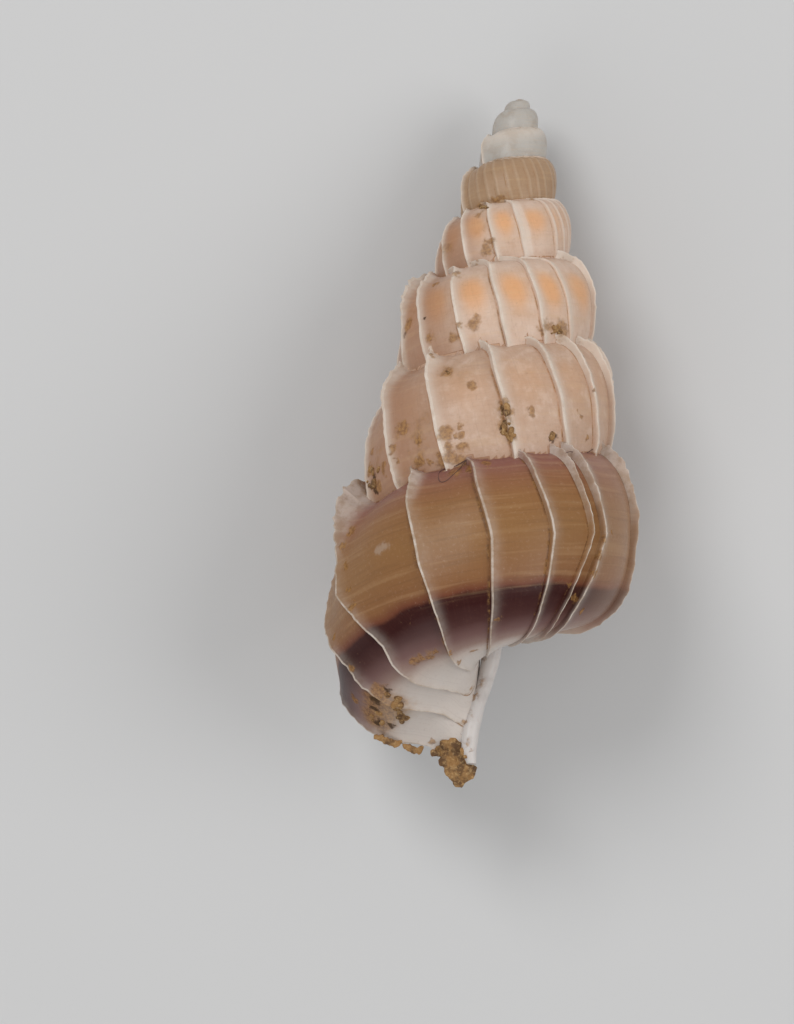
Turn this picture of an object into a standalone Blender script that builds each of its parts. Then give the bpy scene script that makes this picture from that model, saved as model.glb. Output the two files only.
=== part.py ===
"""Wentletrap shell, lying on its side with its mouth down and its apex towards +Y."""
import math

import bmesh
import bpy
import numpy as np
from mathutils import Matrix

MM = 0.001

# Growth of the coil, in half turns from the apex to just past the mouth.
# Each row is one half turn: radius over the lamellae, and height of the bulge below the apex, in mm.
HALF_TURNS = (
    (0.11, 0.06), (0.19, 0.13), (0.30, 0.26), (0.47, 0.38), (0.70, 0.64),
    (0.87, 0.96), (1.17, 1.40), (1.34, 2.00), (1.66, 2.72), (1.87, 3.53),
    (2.36, 4.50), (2.64, 5.70), (3.20, 7.18), (3.78, 8.93), (4.60, 10.95),
    (4.97, 13.10), (5.72, 15.70), (6.15, 18.30), (6.95, 21.95), (7.85, 26.30),
)
LAST_WHORL = 6            # the body whorl's number, counted in the list of ribs below
BODY_TURN = 8.5           # turns from the apex to the right side of the body whorl
MOUTH_ANGLE = -128.0      # where the mouth's edge is, in degrees round the axis

# Section of the whorl, in parts of its radius
TUBE_OUT = 0.495
TUBE_DOWN = 0.10
HALF_WIDTH = 0.45
HALF_HEIGHT = ((3.6, 0.65), (4.6, 0.69), (7.0, 0.74))     # against the turn: the first whorls bulge less
ROUND_ABOVE = 2.35
ROUND_BELOW = 2.45
ROUND_CORNER = 5.0        # at the foot of the mouth, towards the axis, where the whorl fills its corner
SPOUT_REACH = 0.40        # how far the foot of the mouth is drawn out
SPOUT_AROUND = ((-180, 0), (-168, 0.55), (-140, 1), (-118, 0.62), (-92, 0.14), (-60, 0))
SPOUT_TURNS = ((-0.66, 1), (-0.55, 0.55), (-0.44, 0.15), (-0.34, 0))
CORNER_TURNS = ((-0.50, 1), (-0.20, 0))

# Lamellae, whorl by whorl: degrees round the axis, 0 at the front, positive to the right
LAMELLAE = {
    1: (-65,),
    2: (-72,),
    3: (58, 45, 31, 9, -16, -43, -69, -92, -119, -151, -184, -216, -245),
    4: (85, 44, 21, -4, -30, -56, -78, -100, -126, -160, -200, -235, -252),
    5: (76, 54, 31, 2, -32, -61, -89, -126, -151, -196, -229, -252),
    6: (86, 50, 43, 24, -1, -30, -74, -98, MOUTH_ANGLE),
}
# Lamellae that flare at the shoulder into a flap over the whorl above, and how far against the others
FLARED = {
    (4, -56): 1.4, (5, 31): 1.3, (5, 2): 1.3, (5, -32): 1.6, (5, -61): 1.5, (6, -30): 1.7, (6, -74): 2.0,
}
FLARE = ((15, 0), (55, 1), (110, 1), (140, 0))
# Height of a lamella and how far it leans forward, against the angle round the section
# (0 at the bulge, 90 at the shoulder, -90 at the base)
BLADE = (
    (-180, 0), (-130, 0), (-100, 0.03), (-60, 0.045), (0, 0.055), (50, 0.085), (85, 0.11), (110, 0.08),
    (140, 0),
)
LEAN_ABOVE = ((0, 0), (30, 7), (66, 15), (90, 17), (125, 10), (180, 0))
LEAN_BELOW = ((-180, 0), (-120, 0.25), (-85, 1), (-50, 1), (-22, 0.6), (0, 0))
LEAN_BASE = ((-0.62, -20), (-0.52, -25), (-0.46, -26), (-0.33, -9), (-0.25, -2), (-0.1, 1), (0.5, -8))
RISE = 0.040              # turns over which the shell swells up to a lamella
RISE_SHARE = 0.5          # the most of the way from the lamella before it that the swelling takes
EDGE = 0.0035             # thickness of a lamella's edge, in turns
EDGE_FOOT = 0.0056        # how far past the crest the edge meets the next panel
EDGE_LIFT = 0.9           # height of the edge's far side against the crest
MAX_STEP = 0.080          # longest plain stretch between two rings, in turns
APEX_STEP = 0.095         # the same on the first whorls
TIP = 0.02                # how far from the coil's very start its first ring is, in turns

# Stretches that the coil is made in, from the apex: where each ends, in turns before the body whorl's
# right side, and the points in its rings. The later ones end on the lamella nearest that turn.
STRETCHES = ((5.55, 8), (4.75, 10), (4.0, 12), (3.35, 12))
LAMELLA_STRETCHES = ((2.68, 12), (2.0, 14), (1.3, 16), (0.66, 18), (0.3, 20), (-0.25, 22), (-0.7, 22))
OVERLAP = 0.02            # how far a stretch reaches back into the one before it, in turns
OVERLAP_SIZE = 0.93       # the size of its first ring there
SMALL = 1e-6

# Hollow of the last whorl
HOLLOW = 0.86             # its width against the whorl's
HOLLOW_END = 0.43         # the same at its inner end
HOLLOW_TURNS = 0.86       # how far it reaches in from the mouth
PAST_MOUTH = 0.06         # how far it reaches out past the mouth, in turns
HOLLOW_POINTS = 14
HOLLOW_RINGS = 11

# Columella, in the coil's own frame: across, below the apex, towards the front, and its radius, in mm
COLUMELLA = (
    (-0.10, 18.0, -0.20, 0.60), (-0.12, 23.0, -0.25, 0.62), (-0.10, 25.2, -0.20, 0.56),
    (-0.32, 27.3, -0.10, 0.50), (-0.45, 29.0, -0.05, 0.42),
)
COLUMELLA_POINTS = 10

# How the coil lies: roll about its axis, then the tip of the apex towards the ground, in degrees
LIE_ROLL = -0.94
LIE_PITCH = -10.19
SHIFT = (0.382, 14.586, 2.539)

PALE = (0.80, 0.72, 0.64, 1.0)
GLOSS = 0.35
SHARP_EDGE = 40           # degrees between faces above which an edge is drawn sharp


def curve(knots, x):
    """A smooth curve through the knots that never overshoots them, level beyond both ends."""
    xs, ys = np.array(knots, float).T
    x = np.clip(x, xs[0], xs[-1])
    step = np.diff(xs)
    rate = np.diff(ys) / step
    slope = np.concatenate(([rate[0]], np.zeros(len(xs) - 2), [rate[-1]]))
    for k in range(1, len(xs) - 1):
        if rate[k - 1] * rate[k] > 0:
            before = 2 * step[k] + step[k - 1]
            after = step[k] + 2 * step[k - 1]
            slope[k] = (before + after) / (before / rate[k - 1] + after / rate[k])
    i = np.clip(np.searchsorted(xs, x, side="right") - 1, 0, len(step) - 1)
    t = (x - xs[i]) / step[i]
    low = (1 + 2 * t) * (1 - t) ** 2 * ys[i] + t * (1 - t) ** 2 * step[i] * slope[i]
    return low + t * t * (3 - 2 * t) * ys[i + 1] + t * t * (t - 1) * step[i] * slope[i + 1]


def radius(turn):
    """Radius over the lamellae, by turns before the body whorl's right side."""
    rows = [(k / 2 - BODY_TURN, r) for k, (r, _) in enumerate(HALF_TURNS)]
    return curve(rows, -turn) * MM


def height(turn):
    """Height of the bulge below the apex."""
    rows = [(k / 2 - BODY_TURN, h) for k, (_, h) in enumerate(HALF_TURNS)]
    return curve(rows, -turn) * MM


def section(around, turn):
    """Distance from the axis and height below the bulge, in parts of the radius."""
    c = np.cos(around)
    s = np.sin(around)
    corner = ROUND_BELOW + (ROUND_CORNER - ROUND_BELOW) * curve(CORNER_TURNS, turn)
    below = np.where(c < 0, corner, ROUND_BELOW)
    power = 2 / np.where(s >= 0, ROUND_ABOVE, below)
    out = TUBE_OUT + HALF_WIDTH * np.sign(c) * np.abs(c) ** power
    down = TUBE_DOWN - curve(HALF_HEIGHT, turn) * np.sign(s) * np.abs(s) ** power
    spout = SPOUT_REACH * curve(SPOUT_AROUND, np.degrees(around)) * curve(SPOUT_TURNS, turn)
    return out, down + spout


def outward(around, turn):
    """Unit normal of the section."""
    small = 0.02
    out_a, down_a = section(around - small, turn)
    out_b, down_b = section(around + small, turn)
    d_out = out_b - out_a
    d_down = down_b - down_a
    size = np.hypot(d_out, d_down)
    return -d_down / size, d_out / size


def lean(around, turn):
    """How far forward along the coil a rib runs at this place on the section, in turns."""
    degrees = np.degrees(around)
    return (curve(LEAN_ABOVE, degrees) + curve(LEAN_BELOW, degrees) * curve(LEAN_BASE, turn)) / 360


def ring(turn, points, lift=0.0, flare=1.0, size=1.0):
    """One ring of points round the coil's section, with the apex at the origin and +Y up the axis."""
    around = (np.arange(points) / points) * 2 * math.pi
    around = np.where(around > math.pi, around - 2 * math.pi, around)
    place = turn - lean(around, turn)
    out, down = section(around, turn)
    n_out, n_down = outward(around, turn)
    blade = curve(BLADE, np.degrees(around)) * lift * (1 + (flare - 1) * curve(FLARE, np.degrees(around)))
    out = TUBE_OUT + (out - TUBE_OUT) * size + n_out * blade
    down = TUBE_DOWN + (down - TUBE_DOWN) * size + n_down * blade
    angle = np.radians(90 + 360 * place)
    reach = out * radius(place)
    drop = height(place) + down * radius(place)
    return np.stack([reach * np.sin(angle), -drop, reach * np.cos(angle)], axis=-1)


def rib_places():
    """Every lamella from the apex down: its turns before the body whorl's right side, and its flare."""
    places = []
    for whorl, row in LAMELLAE.items():
        for angle in row:
            turn = LAST_WHORL - whorl + (angle - 90) / 360
            places.append((turn, FLARED.get((whorl, angle), 1.0)))
    return sorted(places, reverse=True)


def stretch_rings(first, last, ribs, step):
    """Turn, lift and flare of each ring in one stretch, which ends on a lamella's crest or plain."""
    rows = []
    turn = first
    stops = [place for place in ribs if last - SMALL <= place[0] < first - SMALL]
    plain_end = not stops or stops[-1][0] > last + SMALL
    if plain_end:
        stops.append((last, 0.0))
    for stop, flare in stops:
        gap = turn - stop
        rise = min(RISE, gap * RISE_SHARE) if flare else 0.0
        plain = gap - rise
        count = max(1, math.ceil(plain / step))
        rows += [(turn - plain * (k + 1) / count, 0.0, 1.0) for k in range(count)]
        if flare:
            rows.append((stop, 1.0, flare))
        if flare and stop - last > SMALL:
            rows.append((stop - EDGE, EDGE_LIFT, flare))
            rows.append((stop - EDGE_FOOT, 0.0, 1.0))
        turn = rows[-1][0]
    return rows


def add_tube(bm, rings):
    """Joins the rings into one closed tube with a cap at each end."""
    loops = [[bm.verts.new(point) for point in row] for row in rings]
    for low, high in zip(loops, loops[1:]):
        for k in range(len(low)):
            after = (k + 1) % len(low)
            bm.faces.new((low[k], low[after], high[after], high[k]))
    for loop in (loops[0], loops[-1]):
        middle = bm.verts.new(sum((v.co for v in loop), loop[0].co * 0) / len(loop))
        for k in range(len(loop)):
            bm.faces.new((middle, loop[k], loop[(k + 1) % len(loop)]))
    bmesh.ops.recalc_face_normals(bm, faces=bm.faces[:])
    bmesh.ops.triangulate(bm, faces=bm.faces[:])


def tube_object(name, rings, place):
    """A closed tube as an object, turned and moved to where the shell lies."""
    bm = bmesh.new()
    add_tube(bm, rings)
    if bm.calc_volume(signed=True) < 0:
        bmesh.ops.reverse_faces(bm, faces=bm.faces[:])
    bm.transform(place)
    mesh = bpy.data.meshes.new(name)
    bm.to_mesh(mesh)
    bm.free()
    item = bpy.data.objects.new(name, mesh)
    bpy.context.scene.collection.objects.link(item)
    return item


def round_ring(across, down, front, size, points):
    """A level round ring about the axis."""
    turns = np.arange(points) / points * 2 * math.pi
    x = across + size * np.cos(turns)
    z = front + size * np.sin(turns)
    return np.stack([x, np.full(points, -down), z], axis=-1) * MM


def hide_guide(item):
    """Keeps a solid that only cuts or joins out of the picture."""
    item.hide_render = True
    item.display_type = "WIRE"


def grouped(name, items):
    """A collection of guides for one Boolean."""
    group = bpy.data.collections.new(name)
    bpy.context.scene.collection.children.link(group)
    for item in items:
        group.objects.link(item)
        bpy.context.scene.collection.objects.unlink(item)
        hide_guide(item)
    return group


def shell_material():
    material = bpy.data.materials.new("aragonite")
    material.use_nodes = True
    shader = material.node_tree.nodes["Principled BSDF"]
    shader.inputs["Base Color"].default_value = PALE
    shader.inputs["Roughness"].default_value = GLOSS
    shader.inputs["Metallic"].default_value = 0.0
    return material


def lying():
    """The turn and the shift that lay the coil down."""
    roll = Matrix.Rotation(math.radians(LIE_ROLL), 4, "Y")
    pitch = Matrix.Rotation(math.radians(LIE_PITCH), 4, "X")
    return Matrix.Translation([v * MM for v in SHIFT]) @ pitch @ roll


def coil_stretches(ribs, place):
    """The coil in overlapping stretches, each starting inside the one before it."""
    turns = [turn for turn, _ in ribs]
    cuts = [(last, points, APEX_STEP) for last, points in STRETCHES]
    for near, points in LAMELLA_STRETCHES:
        cuts.append((min(turns, key=lambda turn: abs(turn - near)), points, MAX_STEP))
    items = []
    first = BODY_TURN - TIP
    for number, (last, points, step) in enumerate(cuts):
        rings = [ring(first + OVERLAP, points, size=OVERLAP_SIZE)]
        for turn, lift, flare in stretch_rings(first, last, ribs, step):
            rings.append(ring(turn, points, lift, flare))
        items.append((last, tube_object(f"coil_{number:02d}", rings, place)))
        first = last - SMALL
    return items


bpy.context.scene.unit_settings.system = "METRIC"
for old in list(bpy.data.objects):
    bpy.data.objects.remove(old)

place = lying()
ribs = rib_places()
stretches = coil_stretches(ribs, place)
mouth = ribs[-1][0]
hollow_start = mouth + HOLLOW_TURNS

hollow_turns = np.linspace(hollow_start, mouth - PAST_MOUTH, HOLLOW_RINGS)
hollow_rings = [ring(turn, HOLLOW_POINTS, size=HOLLOW) for turn in hollow_turns]
hollow_rings[0] = ring(hollow_turns[0], HOLLOW_POINTS, size=HOLLOW_END)
hollow = tube_object("hollow", hollow_rings, place)
hide_guide(hollow)

# The last whorl is hollowed before the spire joins it, so that the spire stays whole inside the coil
old_part = [item for last, item in stretches if last > hollow_start - PAST_MOUTH]
new_part = [item for last, item in stretches if last <= hollow_start - PAST_MOUTH]
shell = new_part.pop()
shell.name = "shell"

old_part.append(tube_object("columella", [round_ring(*row, COLUMELLA_POINTS) for row in COLUMELLA], place))

for name, operation, items in (("last_whorl", "UNION", new_part), ("hollow", "DIFFERENCE", None),
                               ("spire", "UNION", old_part)):
    cut = shell.modifiers.new(name, "BOOLEAN")
    cut.operation = operation
    cut.solver = "EXACT"
    if items is None:
        cut.object = hollow
    else:
        cut.operand_type = "COLLECTION"
        cut.collection = grouped(name, items)

shell.data.materials.append(shell_material())
shell.data.shade_smooth()
shell.data.set_sharp_from_angle(angle=math.radians(SHARP_EDGE))
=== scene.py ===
import math

import bmesh
import bpy
import numpy as np
from mathutils import Matrix, Vector, kdtree, noise
from mathutils.bvhtree import BVHTree


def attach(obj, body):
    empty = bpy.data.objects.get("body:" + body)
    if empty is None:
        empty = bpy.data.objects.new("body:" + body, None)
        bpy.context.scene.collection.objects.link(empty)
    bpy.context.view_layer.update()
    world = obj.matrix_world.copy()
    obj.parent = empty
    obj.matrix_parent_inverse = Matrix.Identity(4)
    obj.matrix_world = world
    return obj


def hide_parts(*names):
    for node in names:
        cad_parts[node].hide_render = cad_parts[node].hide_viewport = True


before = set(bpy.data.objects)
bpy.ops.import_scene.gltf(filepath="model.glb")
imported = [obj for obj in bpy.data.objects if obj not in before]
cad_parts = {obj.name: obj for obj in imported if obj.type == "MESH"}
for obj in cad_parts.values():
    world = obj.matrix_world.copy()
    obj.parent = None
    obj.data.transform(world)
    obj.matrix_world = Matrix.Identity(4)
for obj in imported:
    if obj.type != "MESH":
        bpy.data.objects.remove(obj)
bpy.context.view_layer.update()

MM = 0.001

# Growth of the coil, in half turns from the apex to just past the mouth.
# Each row is one half turn: radius over the lamellae, and height of the bulge below the apex, in mm.
HALF_TURNS = (
    (0.11, 0.06), (0.19, 0.13), (0.30, 0.26), (0.47, 0.38), (0.70, 0.64),
    (0.87, 0.96), (1.17, 1.40), (1.34, 2.00), (1.66, 2.72), (1.87, 3.53),
    (2.36, 4.50), (2.64, 5.70), (3.20, 7.18), (3.78, 8.93), (4.60, 10.95),
    (4.97, 13.10), (5.72, 15.70), (6.15, 18.30), (6.95, 21.95), (7.85, 26.30),
)
LAST_WHORL = 6            # the body whorl's number, counted in the list of ribs below
BODY_TURN = 8.5           # turns from the apex to the right side of the body whorl
MOUTH_ANGLE = -128.0      # where the mouth's edge is, in degrees round the axis

# Section of the whorl, in parts of its radius: middle, size and how round its corners are
TUBE_OUT = 0.495
TUBE_DOWN = 0.10
HALF_WIDTH = 0.45
HALF_HEIGHT = ((3.6, 0.65), (4.6, 0.69), (7.0, 0.74))     # against the turn: the first whorls bulge less
ROUND_ABOVE = 2.35
ROUND_BELOW = 2.45
ROUND_CORNER = 5.0        # at the foot of the mouth, towards the axis, where the whorl fills its corner
SPOUT_REACH = 0.40        # how far the foot of the mouth is drawn out
SPOUT_AROUND = ((-180, 0), (-168, 0.55), (-140, 1), (-118, 0.62), (-92, 0.14), (-60, 0))
SPOUT_TURNS = ((-0.66, 1), (-0.55, 0.55), (-0.44, 0.15), (-0.34, 0))
CORNER_TURNS = ((-0.50, 1), (-0.20, 0))

# Lamellae, whorl by whorl: degrees round the axis, 0 at the front, positive to the right
LAMELLAE = {
    1: (-65,),
    2: (-72,),
    3: (9, -16, -43, -69, -92, -119, -151, -184, -216, -245),
    4: (85, 44, 21, -4, -30, -56, -78, -100, -126, -160, -200, -235, -252),
    5: (76, 54, 31, 2, -32, -61, -89, -126, -151, -196, -229, -252),
    6: (86, 50, 43, 24, -1, -30, -74, -98, MOUTH_ANGLE),
}
# Lamellae that flare at the shoulder into a flap over the whorl above, and how far against the others
FLARED = {
    (4, -56): 1.9, (4, -78): 2.6, (4, -100): 2.0, (5, 31): 1.4, (5, 2): 1.4, (5, -32): 1.8,
    (5, -61): 2.0, (6, -30): 1.4, (6, -74): 3.2,
}
FLARE = ((15, 0), (55, 1), (110, 1), (140, 0))
# Height of a lamella and how far it leans forward, against the angle round the section
BLADE = (
    (-180, 0), (-130, 0), (-100, 0.025), (-60, 0.032), (0, 0.036), (45, 0.046), (64, 0.052), (78, 0.054),
    (95, 0.04), (140, 0),
)
LEAN_ABOVE = (
    (0, 0), (30, 7), (56, 12), (64, 16), (70, 24), (76, 34), (84, 40), (100, 42), (125, 28), (180, 0),
)
LEAN_BELOW = ((-180, 0), (-120, 0.25), (-85, 1), (-50, 1), (-22, 0.6), (0, 0))
LEAN_INNER = ((-180, 0), (-140, 1), (-112, 1), (-88, 0))       # how the ribs turn up to the inner lip
INNER_TURNS = ((-0.60, 0), (-0.54, -15), (-0.44, -17), (-0.36, -8), (-0.30, 0))
LEAN_BASE = (
    (-0.62, -20), (-0.52, -25), (-0.46, -26), (-0.33, -9), (-0.25, -2), (-0.185, 1), (-0.13, 9),
    (-0.09, 8), (0.0, 0), (0.5, -8),
)

# Shape of a lamella along the coil: turns before its crest, and height. It swells slowly, then drops off.
SWELL = (
    (0.040, 0.0), (0.031, 0.05), (0.023, 0.14), (0.016, 0.28), (0.0105, 0.45), (0.0065, 0.64),
    (0.0038, 0.80), (0.0020, 0.92), (0.0009, 0.98),
)
DROP = ((0.0003, 1.0), (-0.0004, 1.0), (-0.0010, 0.88), (-0.0015, 0.58), (-0.0019, 0.22), (-0.0025, 0.0))
FINE_RIB = ((0.010, 0.0), (0.005, 0.45), (0.0015, 0.95), (-0.0015, 1.0), (-0.005, 0.5), (-0.010, 0.0))
CREST_RADIUS = 5.5        # radius, in mm, at which a crest has these widths; on smaller whorls it is wider
CREST_WIDEST = 2.2
GAP_SHARE = 0.8           # the most of the way between two lamellae that the swelling takes
FINE_FIRST = 3.95         # where the fine close ribs begin and end, and how far apart they are, in turns
FINE_LAST = 2.83
FINE_STEP = 0.037
FINE_HEIGHT = 0.26
# Lamellae that are lower or higher than the others, and how far; at the shell's sides they are all taller
TALLNESS = {
    (1, -65): 1.4, (2, -72): 1.6, (3, 9): 0.55, (4, 44): 0.30, (4, 21): 0.75, (5, 31): 0.75, (6, 24): 0.75,
    (6, -1): 0.70,
}
TALL_AT_SIDES = 0.45
PANEL_STEP = 0.012        # the most between two rings where there is no lamella, in turns
APEX_STEP = 0.022

# Unevenness of a lamella: how far its crest strays along the coil, in turns, and with how many waves;
# then for its edge the share of its height, a seed of its own and the waves
JAG_LEAN = 0.0013
JAG_WAVES = 2.2
EDGE_WAVES = ((0.22, 50, 3.0), (0.16, 90, 14.0), (0.16, 70, 30.0))
SEED_STEP = 7.31
FINE_STRAY = 0.3          # how unevenly the fine ribs are spaced, in parts of their step

# Stretches that the coil is made in: where each ends, and the points in its rings
PLAIN_STRETCHES = ((5.4, 36), (4.7, 44), (4.05, 52))
CREST_STRETCHES = (
    (3.4, 60), (2.68, 72), (2.0, 80), (1.3, 92), (0.66, 104), (0.3, 108), (-0.25, 112), (-0.7, 116),
)
CROWD_AT = 70             # where round the section the points are closest, and how much
CROWD = 0.4

# The hollow inside the last whorl: against the turn, its size in parts of the whorl's
HOLLOW = ((-0.66, 0.95), (-0.60, 0.93), (-0.585, 0.89), (-0.55, 0.87), (0.2, 0.86), (0.26, 0.40))
HOLLOW_TURNS = 0.86       # how far it reaches in from the mouth
HOLLOW_POINTS = 72
HOLLOW_RINGS = 70

# The inner lip: how far across, down and forward its middle is, and its radius, in mm
COLUMELLA = (
    (-0.10, 18.0, -0.20, 0.60), (0.05, 22.0, -0.25, 0.54), (0.20, 24.0, -0.20, 0.42),
    (0.02, 25.4, -0.14, 0.36), (-0.20, 26.2, -0.10, 0.36), (-0.38, 26.9, -0.08, 0.37),
    (-0.50, 27.8, -0.05, 0.37), (-0.49, 28.5, -0.02, 0.32), (-0.34, 29.1, 0.00, 0.20),
)
COLUMELLA_POINTS = 36
COLUMELLA_RINGS = 60
COLUMELLA_TURN = -0.55    # the turn that is noted on it
COLUMELLA_WAVES = 900
COLUMELLA_UNEVEN = 0.05 * MM

# Where the parts of the coil meet
TIP = 0.02                # how far from the coil's very start its first ring is, in turns
OVERLAP = 0.012           # how far a stretch reaches back into the one before it, in turns
OVERLAP_SIZE = 0.95
JUST_INSIDE = 0.998       # size of its ring where the one before it ends, so that no seam shows
PAST_MOUTH = 0.06         # how far the hollow reaches out past the mouth, in turns

# How the coil lies, in degrees and millimetres
LIE_ROLL = -0.94
LIE_PITCH = -10.19
SHIFT = (0.382, 14.586, 2.539)

# The photograph's frame: pixels wide and high, where the apex shows, and the size of a pixel on the shell
PHOTO_SIZE = (794, 1024)
APEX_PIXEL = (520.5, 98.0)
PIXEL = 0.0425 * MM
VIEW_LEAN = 3.5           # degrees that the axis leans to the left in the photograph
VIEW_TIP = 13.0           # degrees that the base is tipped towards the camera
LENS = 1200.0             # in millimetres, as the sensor is: so long that far things show hardly smaller
SENSOR = 36.0
DISTANCE = LENS * PHOTO_SIZE[1] * PIXEL / SENSOR
FOCUS_DEPTH = 3.8 * MM    # the plane at which a pixel has its size, towards the camera from the apex

# Studio: floor, light from all round, and lamps with their place and width in metres and power in watts
FLOOR_HALF = 1.0
FLOOR_SHADE = 0.60
WORLD_LIGHT = 0.42
LAMPS = (
    ("key", (-0.14, 0.14, 0.26), 0.16, 0.40),
    ("fill", (0.22, 0.02, 0.20), 0.20, 0.30),
    ("low", (-0.10, -0.22, 0.16), 0.20, 0.12),
)


def curve(knots, x):
    """A smooth curve through the knots that never overshoots them, level beyond both ends."""
    xs, ys = np.array(knots, float).T
    x = np.clip(x, xs[0], xs[-1])
    step = np.diff(xs)
    rate = np.diff(ys) / step
    slope = np.concatenate(([rate[0]], np.zeros(len(xs) - 2), [rate[-1]]))
    for k in range(1, len(xs) - 1):
        if rate[k - 1] * rate[k] > 0:
            before = 2 * step[k] + step[k - 1]
            after = step[k] + 2 * step[k - 1]
            slope[k] = (before + after) / (before / rate[k - 1] + after / rate[k])
    i = np.clip(np.searchsorted(xs, x, side="right") - 1, 0, len(step) - 1)
    t = (x - xs[i]) / step[i]
    low = (1 + 2 * t) * (1 - t) ** 2 * ys[i] + t * (1 - t) ** 2 * step[i] * slope[i]
    return low + t * t * (3 - 2 * t) * ys[i + 1] + t * t * (t - 1) * step[i] * slope[i + 1]


RADIUS_ROWS = [(k / 2 - BODY_TURN, r) for k, (r, _) in enumerate(HALF_TURNS)]
HEIGHT_ROWS = [(k / 2 - BODY_TURN, h) for k, (_, h) in enumerate(HALF_TURNS)]


def radius(turn):
    return curve(RADIUS_ROWS, -turn) * MM


def height(turn):
    return curve(HEIGHT_ROWS, -turn) * MM


def section(around, turn):
    """Distance from the axis and height below the bulge, in parts of the radius."""
    c = np.cos(around)
    s = np.sin(around)
    corner = ROUND_BELOW + (ROUND_CORNER - ROUND_BELOW) * curve(CORNER_TURNS, turn)
    below = np.where(c < 0, corner, ROUND_BELOW)
    power = 2 / np.where(s >= 0, ROUND_ABOVE, below)
    out = TUBE_OUT + HALF_WIDTH * np.sign(c) * np.abs(c) ** power
    down = TUBE_DOWN - curve(HALF_HEIGHT, turn) * np.sign(s) * np.abs(s) ** power
    spout = SPOUT_REACH * curve(SPOUT_AROUND, np.degrees(around)) * curve(SPOUT_TURNS, turn)
    return out, down + spout


def outward(around, turn):
    """Unit normal of the section."""
    small = 0.02
    out_a, down_a = section(around - small, turn)
    out_b, down_b = section(around + small, turn)
    d_out = out_b - out_a
    d_down = down_b - down_a
    size = np.hypot(d_out, d_down)
    return -d_down / size, d_out / size


def lean(around, turn):
    """How far forward along the coil a rib runs at this place on the section, in turns."""
    degrees = np.degrees(around)
    inner = curve(LEAN_INNER, degrees) * curve(INNER_TURNS, turn)
    return (curve(LEAN_ABOVE, degrees) + curve(LEAN_BELOW, degrees) * curve(LEAN_BASE, turn) + inner) / 360


def angles_around(points):
    """Angles round the section, closest together at the shoulder."""
    even = (np.arange(points) / points) * 2 * math.pi
    around = even - CROWD * np.sin(even - math.radians(CROWD_AT)) - CROWD * math.sin(math.radians(CROWD_AT))
    around = np.mod(around, 2 * math.pi)
    return np.where(around > math.pi, around - 2 * math.pi, around)


def jagged(around, seed, waves):
    """Small unevenness along a lamella, from -1 to 1."""
    row = seed * SEED_STEP
    return np.array([noise.noise(Vector((math.cos(a) * waves, math.sin(a) * waves, row))) for a in around])


def ring(turn, points, lift=0.0, flare=1.0, size=1.0, seed=None):
    """One ring of points round the coil's section, with the apex at the origin and +Y up the axis."""
    around = angles_around(points)
    degrees = np.degrees(around)
    place = turn - lean(around, turn)
    edge = 1.0
    if seed is not None:
        place = place + JAG_LEAN * jagged(around, seed, JAG_WAVES)
        for share, own_seed, waves in EDGE_WAVES:
            edge = edge + share * jagged(around, seed + own_seed, waves)
    out, down = section(around, turn)
    n_out, n_down = outward(around, turn)
    blade = curve(BLADE, degrees) * lift * edge * (1 + (flare - 1) * curve(FLARE, degrees))
    out = TUBE_OUT + (out - TUBE_OUT) * size + n_out * blade
    down = TUBE_DOWN + (down - TUBE_DOWN) * size + n_down * blade
    angle = np.radians(90 + 360 * place)
    reach = out * radius(place)
    drop = height(place) + down * radius(place)
    return np.stack([reach * np.sin(angle), -drop, reach * np.cos(angle)], axis=-1)


def rib_places():
    """Every lamella from the apex down: turns before the body whorl's right side, flare and height."""
    places = []
    for whorl, row in LAMELLAE.items():
        for angle in row:
            turn = LAST_WHORL - whorl + (angle - 90) / 360
            tall = 1 + TALL_AT_SIDES * math.sin(math.radians(angle)) ** 2
            places.append((turn, FLARED.get((whorl, angle), 1.0), tall * TALLNESS.get((whorl, angle), 1.0)))
    return sorted(places, reverse=True)


def fine_turns():
    """Places of the fine close ribs, spaced a little unevenly."""
    count = int((FINE_FIRST - FINE_LAST) / FINE_STEP)
    strays = [FINE_STRAY * noise.noise(Vector((k * 1.7, 0, 0))) for k in range(count)]
    return [FINE_FIRST - FINE_STEP * (k + stray) for k, stray in enumerate(strays)]


def ring_plan(ribs):
    """Every ring of the coil in order.

    Each row is its turn, lift, flare, seed of its rib, place in its panel (0 to 1), share of its
    rib's height and how tall that rib is against the others.
    """
    crests = list(ribs) + [(turn, 1.0, FINE_HEIGHT) for turn in fine_turns()]
    crests.sort(reverse=True)
    rows = []
    turn = BODY_TURN - TIP
    for number, (crest, flare, tall) in enumerate(crests):
        wide = min(CREST_WIDEST, max(1.0, CREST_RADIUS * MM / float(radius(crest))))
        gap = turn - crest
        fine = tall == FINE_HEIGHT
        shape = FINE_RIB if fine else SWELL + tuple((before * wide, lift) for before, lift in DROP)
        squeeze = min(1.0, gap * GAP_SHARE / shape[0][0])
        plain_end = crest + shape[0][0] * squeeze
        step = APEX_STEP if turn > PLAIN_STRETCHES[-1][0] else PANEL_STEP
        count = max(1, math.ceil((turn - plain_end) / step))
        for k in range(count):
            along = (turn - plain_end) * k / count
            rows.append((turn - along, 0.0, 1.0, None, along / gap, 0.0, min(1.0, tall)))
        for before, lift in shape:
            place = crest + before * (squeeze if before > 0 else 1.0)
            seed = number if lift else None
            share = lift * tall if fine else lift
            in_panel = min(1.0, (turn - place) / gap)
            rows.append((place, lift * tall, flare, seed, in_panel, share, min(1.0, tall)))
        turn = crest + shape[-1][0] - 1e-4
    return rows


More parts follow.
